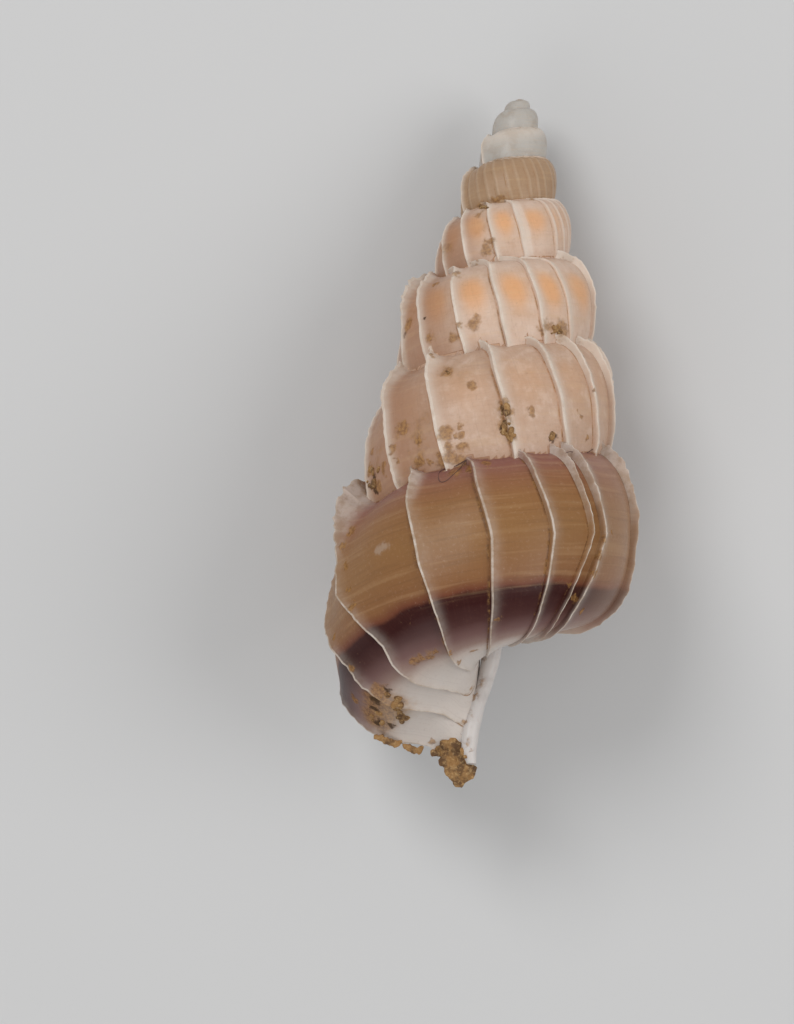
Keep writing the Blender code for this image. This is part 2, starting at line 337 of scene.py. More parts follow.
def add_tube(bm, rings):
    """Joins the rings into one closed tube with a cap at each end."""
    loops = [[bm.verts.new(point) for point in points] for points in rings]
    for low, high in zip(loops, loops[1:]):
        for k in range(len(low)):
            after = (k + 1) % len(low)
            bm.faces.new((low[k], low[after], high[after], high[k]))
    for loop in (loops[0], loops[-1]):
        middle = bm.verts.new(sum((v.co for v in loop), loop[0].co * 0) / len(loop))
        for k in range(len(loop)):
            bm.faces.new((middle, loop[k], loop[(k + 1) % len(loop)]))
    bmesh.ops.recalc_face_normals(bm, faces=bm.faces[:])
    bmesh.ops.triangulate(bm, faces=bm.faces[:])


def lying():
    roll = Matrix.Rotation(math.radians(LIE_ROLL), 4, "Y")
    pitch = Matrix.Rotation(math.radians(LIE_PITCH), 4, "X")
    return Matrix.Translation([v * MM for v in SHIFT]) @ pitch @ roll


PLACE = lying()
NOTES = []                # every ring point of the shell: where it is, then what NOTED names
NOTED = ("turn", "around", "lift", "panel", "tall", "part")


def add_object(name, data):
    item = bpy.data.objects.new(name, data)
    bpy.context.scene.collection.objects.link(item)
    return item


def finished_mesh(item):
    """The mesh of an object with its modifiers applied."""
    depsgraph = bpy.context.evaluated_depsgraph_get()
    return bpy.data.meshes.new_from_object(item.evaluated_get(depsgraph))


def tube_object(name, rings, part):
    """A closed tube that lies with the shell.

    Each ring is its points, turn, lift, place in the panel and how tall its rib is.
    """
    bm = bmesh.new()
    add_tube(bm, [row[0] for row in rings])
    if bm.calc_volume(signed=True) < 0:
        bmesh.ops.reverse_faces(bm, faces=bm.faces[:])
    bm.transform(PLACE)
    mesh = bpy.data.meshes.new(name)
    bm.to_mesh(mesh)
    bm.free()
    for points, turn, lift, panel, tall in rings:
        around = np.degrees(angles_around(len(points)))
        for point, angle in zip(points, around):
            NOTES.append((PLACE @ Vector(point), turn, angle, lift, panel, tall, part))
    return add_object(name, mesh)


def coil_stretches(ribs):
    """The coil in overlapping stretches, each starting inside the one before it."""
    plan = ring_plan(ribs)
    crests = sorted([rib[0] for rib in ribs] + fine_turns())
    cuts = list(PLAIN_STRETCHES)
    for near, points in CREST_STRETCHES:
        crest = min(crests, key=lambda turn: abs(turn - near))
        cuts.append((min((row[0] for row in plan if row[0] >= crest), default=crest), points))
    items = []
    before = None
    first = BODY_TURN
    for number, (last, points) in enumerate(cuts):
        rows = [row for row in plan if last <= row[0] < first]
        old = before or rows[0]
        rings = [(ring(old[0] + OVERLAP, points, size=OVERLAP_SIZE), old[0], 0.0, old[4], 1.0)]
        if before:
            last_ring = ring(old[0], points, old[1], old[2], JUST_INSIDE, old[3])
            rings.append((last_ring, old[0], old[5], old[4], old[6]))
        for turn, lift, flare, seed, panel, share, tall in rows:
            rings.append((ring(turn, points, lift, flare, seed=seed), turn, share, panel, tall))
        items.append((last, tube_object(f"coil_{number:02d}", rings, 0)))
        before = rows[-1]
        first = last
    return items


def round_ring(across, down, front, size, points):
    turns = np.arange(points) / points * 2 * math.pi
    x = across + size * np.cos(turns)
    z = front + size * np.sin(turns)
    return np.stack([x, np.full(points, -down), z], axis=-1) * MM


def columella_rings():
    """The thick inner lip, with a slightly uneven surface and a broken lower end."""
    table = np.array(COLUMELLA)
    downs = table[:, 1]
    rings = []
    for k, down in enumerate(np.linspace(downs[0], downs[-1], COLUMELLA_RINGS)):
        across, front, size = (curve(list(zip(downs, table[:, c])), down) for c in (0, 2, 3))
        points = round_ring(across, down, front, size, COLUMELLA_POINTS)
        for point in points:
            wobble = noise.noise(Vector(point) * COLUMELLA_WAVES) * COLUMELLA_UNEVEN
            point[0] += wobble
            point[2] += wobble
        rings.append((points, COLUMELLA_TURN, 0.0, 0.5, 1.0))
    return rings


def grouped(name, items):
    group = bpy.data.collections.new(name)
    bpy.context.scene.collection.children.link(group)
    for item in items:
        group.objects.link(item)
        bpy.context.scene.collection.objects.unlink(item)
    return group


def make_shell():
    """The whole shell as one closed mesh."""
    ribs = rib_places()
    stretches = coil_stretches(ribs)
    mouth = ribs[-1][0]
    hollow_start = mouth + HOLLOW_TURNS
    hollow_rings = []
    for turn in np.linspace(hollow_start, mouth - PAST_MOUTH, HOLLOW_RINGS):
        points = ring(turn, HOLLOW_POINTS, size=float(curve(HOLLOW, turn)))
        hollow_rings.append((points, turn, 0.0, 0.5, 1.0))
    hollow = tube_object("hollow", hollow_rings, 1)
    old_part = [item for last, item in stretches if last > hollow_start - PAST_MOUTH]
    new_part = [item for last, item in stretches if last <= hollow_start - PAST_MOUTH]
    shell = new_part.pop()
    shell.name = "wentletrap"
    old_part.append(tube_object("columella", columella_rings(), 2))
    steps = (
        ("last_whorl", "UNION", new_part), ("hollow", "DIFFERENCE", None), ("spire", "UNION", old_part),
    )
    for name, operation, items in steps:
        cut = shell.modifiers.new(name, "BOOLEAN")
        cut.operation = operation
        cut.solver = "MANIFOLD"
        if items is None:
            cut.object = hollow
        else:
            cut.operand_type = "COLLECTION"
            cut.collection = grouped(name, items)
    mesh = finished_mesh(shell)
    shell.modifiers.clear()
    shell.data = mesh
    for item in [hollow] + new_part + old_part:
        bpy.data.objects.remove(item)
    return shell


def note_points(shell):
    """Writes on each point of the shell what is noted at the nearest ring point."""
    tree = kdtree.KDTree(len(NOTES))
    for k, row in enumerate(NOTES):
        tree.insert(row[0], k)
    tree.balance()
    mesh = shell.data
    columns = [np.zeros(len(mesh.vertices), np.float32) for _ in NOTED]
    for k, vertex in enumerate(mesh.vertices):
        _, index, _ = tree.find(vertex.co)
        for column, value in zip(columns, NOTES[index][1:]):
            column[k] = value
    for name, column in zip(NOTED, columns):
        mesh.attributes.new(name, "FLOAT", "POINT").data.foreach_set("value", column)


def view_axes():
    """The photograph's right, up and towards-camera directions, in the coil's own frame."""
    lean_r = math.radians(VIEW_LEAN)
    tip = math.radians(VIEW_TIP)
    across = (math.cos(lean_r), -math.sin(lean_r), 0)
    up = (math.sin(lean_r) * math.cos(tip), math.cos(lean_r) * math.cos(tip), -math.sin(tip))
    front = (math.sin(lean_r) * math.sin(tip), math.cos(lean_r) * math.sin(tip), math.cos(tip))
    return [Vector(row) for row in zip(across, up, front)]


def add_camera():
    right, up, back = [PLACE.to_3x3() @ axis for axis in view_axes()]
    apex = PLACE @ Vector((0, 0, 0))
    middle_right = (PHOTO_SIZE[0] / 2 - APEX_PIXEL[0]) * PIXEL
    middle_up = (APEX_PIXEL[1] - PHOTO_SIZE[1] / 2) * PIXEL
    spot = apex + right * middle_right + up * middle_up + back * (FOCUS_DEPTH + DISTANCE)
    data = bpy.data.cameras.new("camera")
    data.lens = LENS
    data.sensor_width = SENSOR
    data.clip_start = 0.01
    data.clip_end = 10.0
    camera = add_object("camera", data)
    turn = Matrix((right, up, back)).transposed().to_4x4()
    camera.matrix_world = Matrix.Translation(spot) @ turn
    bpy.context.scene.camera = camera
    return camera


def pixel_ray(camera, x, y):
    """Where the camera is and the direction in which it sees this pixel of the photograph."""
    across = (x - PHOTO_SIZE[0] / 2) * PIXEL
    up = (PHOTO_SIZE[1] / 2 - y) * PIXEL
    way = camera.matrix_world.to_3x3() @ Vector((across, up, -DISTANCE))
    return camera.matrix_world.translation, way.normalized()


def surface_at(camera, tree, x, y):
    """Point and normal of the shell that this pixel of the photograph shows, or None."""
    start, way = pixel_ray(camera, x, y)
    point, normal, _, _ = tree.ray_cast(start, way)
    return None if point is None else (point, normal, way)


def beside(camera, tree, x, y, near):
    """A point that this pixel shows, and the way the camera looks at it.

    It is as deep as the shell is at the pixel near it, or on the shell where that is about as deep.
    """
    point, _, _ = surface_at(camera, tree, *near)
    start, way = pixel_ray(camera, x, y)
    back = camera.matrix_world.to_3x3() @ Vector((0, 0, 1))
    spot = start + way * ((point - start).dot(back) / way.dot(back))
    found = surface_at(camera, tree, x, y)
    if found and (found[0] - spot).length < NEAR_ENOUGH:
        spot = found[0]
    return spot, way


def add_light(name, spot, size, power):
    data = bpy.data.lights.new(name, "AREA")
    data.shape = "DISK"
    data.size = size
    data.energy = power
    light = add_object(name, data)
    light.location = spot
    light.rotation_euler = Vector(spot).to_track_quat("Z", "Y").to_euler()


def add_stage():
    mesh = bpy.data.meshes.new("floor")
    corners = [(x * FLOOR_HALF, y * FLOOR_HALF, 0) for x, y in ((-1, -1), (1, -1), (1, 1), (-1, 1))]
    mesh.from_pydata(corners, [], [(0, 1, 2, 3)])
    floor = add_object("floor", mesh)
    material = bpy.data.materials.new("pale_floor")
    material.use_nodes = True
    shader = material.node_tree.nodes["Principled BSDF"]
    shader.inputs["Base Color"].default_value = (FLOOR_SHADE, FLOOR_SHADE, FLOOR_SHADE, 1)
    shader.inputs["Roughness"].default_value = 0.8
    mesh.materials.append(material)
    world = bpy.data.worlds.new("studio")
    world.use_nodes = True
    sky = world.node_tree.nodes["Background"]
    sky.inputs["Color"].default_value = (1, 1, 1, 1)
    sky.inputs["Strength"].default_value = WORLD_LIGHT
    bpy.context.scene.world = world
    for lamp in LAMPS:
        add_light(*lamp)


class Paint:
    """Short ways to join shader nodes."""

    def __init__(self, name):
        self.material = bpy.data.materials.new(name)
        self.material.use_nodes = True
        self.tree = self.material.node_tree
        self.shader = self.tree.nodes["Principled BSDF"]

    def node(self, kind, **settings):
        made = self.tree.nodes.new(kind)
        for name, value in settings.items():
            setattr(made, name, value)
        return made

    def put(self, socket, value):
        if isinstance(value, bpy.types.NodeSocket):
            self.tree.links.new(value, socket)
        else:
            socket.default_value = value

    def value_of(self, name):
        return self.node("ShaderNodeAttribute", attribute_name=name).outputs["Fac"]

    def place(self):
        return self.node("ShaderNodeTexCoord").outputs["Object"]

    def math(self, operation, *values, clamp=False):
        made = self.node("ShaderNodeMath", operation=operation, use_clamp=clamp)
        for socket, value in zip(made.inputs, values):
            self.put(socket, value)
        return made.outputs[0]

    def times(self, first, *others):
        for other in others:
            first = self.math("MULTIPLY", first, other)
        return first

    def most(self, first, *others):
        for other in others:
            first = self.math("MAXIMUM", first, other)
        return first

    def change(self, value, low, high, first, last, way="LINEAR"):
        """first up to low, last from high on, and a straight or a smooth change between."""
        made = self.node("ShaderNodeMapRange", interpolation_type=way, clamp=True)
        names = ("Value", "From Min", "From Max", "To Min", "To Max")
        for name, given in zip(names, (value, low, high, first, last)):
            self.put(made.inputs[name], given)
        return made.outputs["Result"]

    def step(self, value, low, high):
        """0 at low, 1 at high, smooth between. low may be above high."""
        if low > high:
            return self.change(value, high, low, 1.0, 0.0, "SMOOTHERSTEP")
        return self.change(value, low, high, 0.0, 1.0, "SMOOTHERSTEP")

    def mix(self, share, first, second):
        made = self.node("ShaderNodeMix", data_type="RGBA", blend_type="MIX")
        colours = [socket for socket in made.inputs if socket.type == "RGBA"]
        self.put(made.inputs["Factor"], share)
        self.put(colours[0], first)
        self.put(colours[1], second)
        return [socket for socket in made.outputs if socket.type == "RGBA"][0]

    def tint(self, under, shade, *shares):
        """A shade laid over what is under it, as strongly as the product of the shares."""
        return self.mix(self.times(*shares), under, shade)

    def noise(self, scale, detail=4.0, rough=0.55, where=None):
        made = self.node("ShaderNodeTexNoise")
        self.put(made.inputs["Scale"], scale)
        self.put(made.inputs["Detail"], detail)
        self.put(made.inputs["Roughness"], rough)
        self.put(made.inputs["Vector"], where or self.place())
        return made.outputs["Fac"]

    def point(self, x, y, z):
        made = self.node("ShaderNodeCombineXYZ")
        for socket, value in zip(made.inputs, (x, y, z)):
            self.put(socket, value)
        return made.outputs[0]

    def surface(self, skin, rough, relief, strength, depth):
        """The colour, roughness and relief of the material, the relief as deep as depth, in metres."""
        bump = self.node("ShaderNodeBump")
        bump.inputs["Strength"].default_value = strength
        bump.inputs["Distance"].default_value = depth
        self.put(bump.inputs["Height"], relief)
        self.put(self.shader.inputs["Base Color"], skin)
        self.put(self.shader.inputs["Roughness"], rough)
        self.put(self.shader.inputs["Normal"], bump.outputs["Normal"])


def colour(red, green, blue):
    """A colour seen as 0 to 255 values, as the light values the shader takes."""
    values = [v / 255 for v in (red, green, blue)]
    return tuple(v / 12.92 if v <= 0.04045 else ((v + 0.055) / 1.055) ** 2.4 for v in values) + (1.0,)


# Colours round the whorl: degrees from the base at -90 to the shoulder at 90, and the colour there
BODY_BANDS = (
    (-90, (204, 194, 186)), (-80, (192, 176, 166)), (-71, (150, 124, 114)), (-60, (116, 86, 82)),
    (-48, (76, 45, 42)), (-38, (52, 15, 13)), (-31, (56, 20, 16)), (-28, (110, 62, 42)),
    (-22, (134, 92, 58)), (0, (143, 103, 63)), (18, (143, 101, 63)), (34, (141, 95, 68)),
    (50, (138, 92, 82)), (85, (130, 94, 94)),
)
SPIRE_BANDS = (
    (-90, (212, 190, 174)), (-40, (210, 184, 166)), (0, (208, 178, 156)), (30, (206, 174, 150)),
    (60, (208, 182, 164)), (85, (186, 158, 140)),
)
BAND_WANDER = 8.0         # how far the bands wander, in degrees round the whorl
BAND_RISE = 4.0           # how far the dark band's upper edge rises at the front, in degrees

# Colours of the older whorls and their spots
TIP_GREYS = (colour(182, 177, 170), colour(174, 165, 155))
BROWN_WHORL = (colour(176, 146, 116), colour(156, 124, 96))
FINE_EDGE = colour(198, 176, 152)
PALE_RIB = colour(224, 208, 194)
LOW_SPIRE = colour(182, 148, 124)
CREAM_BLOTCH = colour(224, 202, 186)
BROWN_BLOTCH = colour(184, 142, 110)
ORANGE_SPOT = colour(224, 166, 116)
# partly stain, partly painted shade: the left side of each spire whorl browner and darker
LEFT_STAIN_AND_SHADE = colour(158, 114, 86)
FADED_BODY = colour(168, 134, 112)

# Colours of the fine lines and grain
PALE_THREAD = colour(214, 180, 136)
DARK_THREAD = colour(98, 68, 44)
GROWTH_LINE = colour(96, 62, 48)
DARK_GRAIN = colour(110, 76, 56)
PALE_GRAIN = colour(216, 190, 168)

# Colours of the lamellae, of the painted shadow at their feet and of the inside of the mouth
EDGE_WHITES = (colour(208, 196, 184), colour(178, 160, 142))
SPIRE_EDGE = colour(228, 214, 200)
# Painted shadow: a dark line at the foot of each lamella's steep side, on the body and on the spire
FOOT_SHADOWS = (colour(84, 54, 38), colour(160, 106, 62))
INSIDE_WHITES = (colour(204, 198, 194), colour(150, 122, 106))
INSIDE_BLOTCH = colour(160, 146, 140)

# Colours of the dirt, of the dark patches that are partly painted shadow, and of the old marks
EARTHS = (colour(112, 74, 36), colour(170, 126, 72))
DARK_EARTH_AND_SHADOW = colour(60, 40, 22)
SCAR = colour(190, 174, 160)
# The mud's dark brown is partly painted crevice shade, and its pale grain partly painted highlight
MUD_SHADE_AND_BROWN = (colour(92, 62, 32), colour(156, 116, 68))
MUD_GRAIN_AND_HIGHLIGHT = colour(200, 166, 116)
THREAD_BROWNS = (colour(70, 44, 44), colour(104, 74, 66))


def ramp(paint, degrees, bands):
    """Colour bands round the whorl, from the base at -90 degrees to the shoulder at 90."""
    made = paint.node("ShaderNodeValToRGB")
    stops = made.color_ramp.elements
    while len(stops) < len(bands):
        stops.new(0.5)
    for stop, (angle, shade) in zip(stops, bands):
        stop.position = (angle + 90) / 180
        stop.color = colour(*shade)
    paint.put(made.inputs["Fac"], paint.math("MULTIPLY_ADD", degrees, 1 / 180, 0.5))
    return made.outputs["Color"]


def patch_mask(paint, spots, where):
    """1 inside the given patches and 0 well outside them."""
    masks = []
    for point, reach in spots:
        far = paint.node("ShaderNodeVectorMath", operation="DISTANCE")
        paint.put(far.inputs[0], where)
        far.inputs[1].default_value = point
        masks.append(paint.step(far.outputs["Value"], reach * PATCH_ENDS, reach * PATCH_FULL))
    return paint.most(*masks)


class ShellPaint(Paint):
    """The shell's material, drawn from what is noted on its points and from noise."""

    def __init__(self, name):
        super().__init__(name)
        self.turn, self.around, self.lift, self.panel, self.tall, self.part = map(self.value_of, NOTED)
        self.mottle = self.noise(450.0, 4.0)
        self.blotch = self.noise(1500.0, 5.0, 0.65)
        self.grain = self.noise(6500.0, 4.0, 0.7)
        self.threads = self.streaks(0.24, 5.0, 2.0, 0.5, 3.0)
        self.fine_threads = self.streaks(0.70, 9.0, 2.0, 0.5, 5.0)
        self.growth = self.streaks(0.02, 300.0, 3.0, 0.6, 7.0)
        wander = self.math("MULTIPLY_ADD", self.mottle, BAND_WANDER, -BAND_WANDER / 2)
        self.level = self.math("ADD", self.around, wander)
        self.on_spire = self.step(self.turn, 0.12, 0.42)
        self.above_band = self.step(self.level, -31, -25)
        self.from_left = self.math("ABSOLUTE", self.math("SUBTRACT", self.math("FRACT", self.turn), 0.48))

    def streaks(self, per_degree, per_turn, detail, rough, seed):
        """Noise drawn out along or across the whorls, with so many waves in a degree and in a turn."""
        where = self.point(self.times(self.around, per_degree), self.times(self.turn, per_turn), seed)
        return self.noise(1.0, detail, rough, where)

    def orange_spot(self):
        """Strength of the soft spot in each panel of the whorls that have one."""
        # Both are 0 at the middle of the spot and about 1 at its edge
        across = self.math("ADD", self.panel, self.times(self.mottle, 0.16))
        across = self.math("MULTIPLY_ADD", across, 2.2, -1.28)
        upward = self.math("MULTIPLY_ADD", self.level, 1 / 24, -20 / 24)
        far = self.math("SQRT", self.math("ADD", self.times(across, across), self.times(upward, upward)))
        strong = self.math("MULTIPLY_ADD", self.step(self.turn, 1.30, 1.55), 0.66, 0.16)
        return self.times(self.step(far, 1.2, 0.15), strong, self.step(self.turn, 3.0, 2.75))

    def spire(self):
        """Cream with a soft orange spot in each panel; each whorl's left side browner, partly stain, partly
        painted shade.
        """
        skin = ramp(self, self.level, SPIRE_BANDS)
        skin = self.tint(skin, LOW_SPIRE, self.step(self.turn, 1.25, 1.15), 0.62)
        skin = self.tint(skin, CREAM_BLOTCH, self.step(self.blotch, 0.46, 0.70), 0.30)
        skin = self.tint(skin, BROWN_BLOTCH, self.step(self.blotch, 0.50, 0.34), 0.22)
        skin = self.tint(skin, ORANGE_SPOT, self.orange_spot())
        # Painted shade and stain: browner and darker towards the left side of each whorl
        return self.tint(skin, LEFT_STAIN_AND_SHADE, self.step(self.from_left, 0.25, 0.09), 0.76)

    def body(self):
        """Mauve under the suture, tan, a dark band and a white base, faded towards the right side."""
        front = self.times(self.step(self.turn, -0.46, -0.36), self.step(self.turn, -0.07, -0.17))
        rise = self.times(front, self.step(self.level, -46, -33))
        skin = ramp(self, self.math("MULTIPLY_ADD", rise, -BAND_RISE, self.level), BODY_BANDS)
        return self.tint(skin, FADED_BODY, self.step(self.turn, -0.16, 0.0), 0.45)

    def whorls(self):
        """Every whorl's own colour, from the grey tip over the brown whorl to the banded one."""
        tip = self.mix(self.step(self.blotch, 0.4, 0.7), *TIP_GREYS)
        fine_rib = self.times(self.step(self.lift, 0.04, 0.24), 0.18)
        brown = self.tint(self.mix(self.blotch, *BROWN_WHORL), FINE_EDGE, fine_rib)
        spire = self.tint(self.spire(), PALE_RIB, fine_rib, 3.2, self.step(self.turn, 2.7, 2.8))
        skin = self.mix(self.step(self.turn, 4.45, 4.05), tip, brown)
        skin = self.mix(self.step(self.turn, 3.30, 3.02), skin, spire)
        return self.mix(self.on_spire, self.body(), skin)

    def lined(self, skin):
        """The skin with fine threads along the whorls, growth lines across them, and grain."""
        dark_share = self.math("MULTIPLY_ADD", self.on_spire, -0.11, 0.15)
        skin = self.tint(skin, PALE_THREAD, self.step(self.threads, 0.50, 0.68), self.above_band, 0.11)
        dark = self.step(self.fine_threads, 0.52, 0.66)
        skin = self.tint(skin, DARK_THREAD, dark, self.above_band, dark_share)
        skin = self.tint(skin, GROWTH_LINE, self.step(self.growth, 0.48, 0.72), 0.07)
        skin = self.tint(skin, DARK_GRAIN, self.step(self.grain, 0.50, 0.80), 0.16)
        return self.tint(skin, PALE_GRAIN, self.step(self.grain, 0.48, 0.20), self.above_band, 0.14)

    def lamellae(self, skin):
        """Whitish edges with a pale foot, and a white patch where each meets the whorl above."""
        white = self.mix(self.step(self.blotch, 0.35, 0.65), *EDGE_WHITES)
        white = self.tint(white, SPIRE_EDGE, self.on_spire, 0.6)
        near_rib = self.most(self.step(self.panel, 0.12, 0.0), self.step(self.panel, 0.82, 1.0))
        patch = self.times(near_rib, self.step(self.around, 54, 72), self.step(self.around, 150, 110), 0.8)
        uneven = self.math("MULTIPLY_ADD", self.grain, 0.1, self.times(self.on_spire, 0.12))
        edge = self.step(self.math("ADD", self.lift, uneven), 0.90, 1.04)
        edge = self.times(edge, self.step(self.tall, 0.1, 0.95))
        glow_from = self.change(self.around, -10.0, 68.0, 0.97, 0.60)
        glow = self.step(self.math("SUBTRACT", self.panel, glow_from), 0.0, 0.30)
        glow = self.times(glow, self.step(self.tall, 0.6, 1.0), self.step(self.around, 130, 90), 0.75)
        pale_foot = self.math("MULTIPLY_ADD", self.on_spire, 0.45, 0.25)
        pale_foot = self.times(self.step(self.lift, 0.10, 1.0), pale_foot)
        return self.tint(skin, white, self.most(edge, glow, patch, pale_foot), 0.92)

    def foot_shadows(self, skin):
        """A broken painted shadow, a dark line at the foot of each lamella's steep side."""
        # Painted shadow at the foot of the lamella's steep side
        line = self.times(self.step(self.panel, 0.06, 0.01), self.step(self.lift, 0.5, 0.2))
        shadow_colour = self.mix(self.on_spire, *FOOT_SHADOWS)
        return self.tint(skin, shadow_colour, line, self.step(self.blotch, 0.36, 0.56), 0.55)

    def inside(self, skin):
        """The skin with the walls of the mouth and the inner lip in their own pale colour."""
        inner = self.mix(self.step(self.turn, -0.5, -0.1), *INSIDE_WHITES)
        inner = self.tint(inner, INSIDE_BLOTCH, self.step(self.blotch, 0.45, 0.7), 0.25)
        return self.mix(self.step(self.part, 0.4, 0.8), skin, inner)

    def wandering(self):
        """The place on the shell, moved a little from point to point so that stains and painted shadows
        have uneven edges.
        """
        place = self.place()
        warp = self.node("ShaderNodeTexNoise")
        self.put(warp.inputs["Vector"], place)
        warp.inputs["Scale"].default_value = 2600.0
        warp.inputs["Detail"].default_value = 4.0
        away = self.node("ShaderNodeVectorMath", operation="SUBTRACT")
        self.put(away.inputs[0], place)
        away.inputs[1].default_value = (WARP / 2, WARP / 2, WARP / 2)
        shift = self.node("ShaderNodeVectorMath", operation="MULTIPLY_ADD")
        self.put(shift.inputs[0], warp.outputs["Color"])
        shift.inputs[1].default_value = (WARP, WARP, WARP)
        self.put(shift.inputs[2], away.outputs["Vector"])
        return shift.outputs["Vector"]

    def loose_dirt(self):
        """Strength of the dirt in the sutures, at the feet of the lamellae, in specks and as a film."""
        seam = self.times(self.step(self.around, 50, 76), self.step(self.blotch, 0.54, 0.66))
        foot = self.times(self.step(self.panel, 0.08, 0.0), self.step(self.blotch, 0.50, 0.62))
        base_foot = self.times(self.step(self.panel, 0.07, 0.02), self.step(self.around, -84, -94))
        base_foot = self.times(base_foot, self.step(self.mottle, 0.42, 0.52))
        speck = self.times(self.step(self.grain, 0.68, 0.74), self.step(self.mottle, 0.50, 0.60))
        film = self.times(self.step(self.mottle, 0.58, 0.72), self.step(self.from_left, 0.28, 0.16))
        film = self.times(film, self.on_spire, 0.5)
        return self.most(self.times(self.most(seam, foot, speck, base_foot), 0.6), film)

    def dirt_and_shadow(self, skin, stains, dark_dirt_and_shadows, scars):
        """The skin with its dirt, stains, painted shadow and old marks, and how strong the dirt, stains and
        shadow are at each place.
        """
        where = self.wandering()
        stain = patch_mask(self, stains, where)
        dark_dirt_and_shadow = patch_mask(self, dark_dirt_and_shadows, where)
        loose = self.loose_dirt()
        earth = self.mix(self.step(self.grain, 0.32, 0.66), *EARTHS)
        skin = self.tint(skin, earth, loose)
        skin = self.tint(skin, earth, stain, 0.68)
        # Dark patches: partly dirt, partly painted shadow
        skin = self.tint(skin, DARK_EARTH_AND_SHADOW, dark_dirt_and_shadow, 0.85)
        skin = self.tint(skin, SCAR, patch_mask(self, scars, where), 0.35)
        return skin, self.most(stain, dark_dirt_and_shadow, loose)


def shell_material(stains, dark_dirt_and_shadows, scars):
    paint = ShellPaint("wentletrap_shell")
    skin = paint.inside(paint.foot_shadows(paint.lamellae(paint.lined(paint.whorls()))))
    # dirt is the strength of the dirt and stains, and of the dark patches that are partly painted shadow
    skin, dirt = paint.dirt_and_shadow(skin, stains, dark_dirt_and_shadows, scars)
    gloss = paint.math("MULTIPLY_ADD", paint.grain, 0.16, 0.26)
    rough = paint.math("MULTIPLY_ADD", dirt, 0.5, gloss, clamp=True)
    relief = paint.math("MULTIPLY_ADD", paint.threads, 0.4, paint.times(paint.growth, 0.12))
    relief = paint.math("ADD", relief, paint.times(paint.grain, 0.3))
    relief = paint.math("ADD", relief, paint.times(dirt, paint.blotch, 3.0))
    paint.surface(skin, rough, relief, 0.5, 0.00003)
    paint.shader.inputs["Specular IOR Level"].default_value = 0.2
    paint.shader.inputs["Subsurface Weight"].default_value = 0.05
    paint.shader.inputs["Subsurface Radius"].default_value = (1.0, 0.6, 0.4)
    paint.shader.inputs["Subsurface Scale"].default_value = 0.0003
    return paint.material


def dirt_material():
    paint = Paint("dried_mud")
    blotch = paint.noise(1800.0, 5.0, 0.65)
    grain = paint.noise(7000.0, 5.0, 0.7)
    # Painted shade and highlight: the mud's dark and pale tones, mixed by noise, are partly shaded and lit
    # copies of its brown
    mud = paint.mix(paint.step(blotch, 0.36, 0.60), *MUD_SHADE_AND_BROWN)
    mud = paint.tint(mud, MUD_GRAIN_AND_HIGHLIGHT, paint.step(grain, 0.45, 0.70), 0.6)
    paint.surface(mud, paint.math("MULTIPLY_ADD", grain, 0.3, 0.6), grain, 0.8, 0.00006)
    return paint.material


def thread_material():
    paint = Paint("dark_thread")
    grain = paint.noise(5000.0)
    fibre = paint.mix(grain, *THREAD_BROWNS)
    paint.put(paint.shader.inputs["Base Color"], fibre)
    paint.put(paint.shader.inputs["Roughness"], paint.math("MULTIPLY_ADD", grain, 0.2, 0.4))
    return paint.material


WARP = 0.8 * MM           # how far the edges of the stains and painted shadows wander
PATCH_ENDS = 1.2          # where a patch ends and where it is at its full strength, against its reach
PATCH_FULL = 0.4
# Where dirt shows in the photograph: pixels across and down, then its reach in pixels
STAINS = (
    (503, 404, 8), (509, 414, 7), (504, 424, 9), (511, 436, 7), (447, 372, 9), (461, 425, 4),
    (459, 434, 4), (532, 411, 5), (400, 430, 8), (445, 434, 10), (449, 446, 6), (548, 326, 9),
    (560, 330, 8), (541, 331, 6), (482, 205, 8), (495, 200, 6), (478, 214, 6), (490, 240, 6),
    (487, 252, 5), (352, 532, 8), (343, 546, 6), (346, 566, 6), (348, 590, 5), (352, 606, 5),
    (604, 538, 5), (600, 556, 5), (594, 572, 5), (582, 612, 5), (413, 661, 7), (421, 658, 7),
    (429, 655, 6), (436, 651, 5), (476, 698, 3), (465, 722, 4), (471, 752, 3), (472, 688, 4),
    (451, 652, 3), (459, 662, 3), (474, 651, 4), (432, 741, 4), (355, 700, 6), (351, 668, 5),
    (334, 636, 5), (457, 461, 9), (441, 460, 9), (420, 461, 7), (464, 447, 8), (398, 462, 4),
    (430, 462, 4), (372, 452, 6), (370, 470, 8), (378, 486, 7), (386, 706, 32), (378, 718, 24),
    (379, 692, 12), (488, 250, 8), (501, 201, 6), (531, 199, 4), (456, 274, 6), (435, 285, 6),
    (475, 323, 9), (458, 325, 5), (453, 338, 7), (560, 329, 11), (430, 337, 8), (408, 325, 9),
    (471, 384, 6), (403, 428, 10), (392, 449, 6), (449, 455, 9), (419, 441, 7), (432, 355, 5),
    (580, 415, 4), (587, 439, 4), (595, 390, 4), (384, 468, 7), (455, 472, 8), (486, 463, 6),
    (470, 468, 5), (612, 532, 4), (568, 585, 4), (575, 600, 5), (498, 620, 3),
)
# Dark patches, mostly beside the mud clumps: partly dirt, partly painted shadow; pixels across and down,
# then reach
DARK_DIRT_AND_SHADOWS = (
    (553, 437, 5), (374, 476, 6), (503, 428, 4), (391, 725, 4), (547, 438, 3), (376, 492, 5),
    (374, 708, 5), (378, 722, 6), (386, 690, 4), (376, 700, 7), (391, 727, 5), (584, 357, 4),
    (426, 318, 3), (372, 482, 5), (405, 335, 5),
)
SCARS = ((379, 550, 8), (384, 546, 7))        # pale marks where the surface is worn
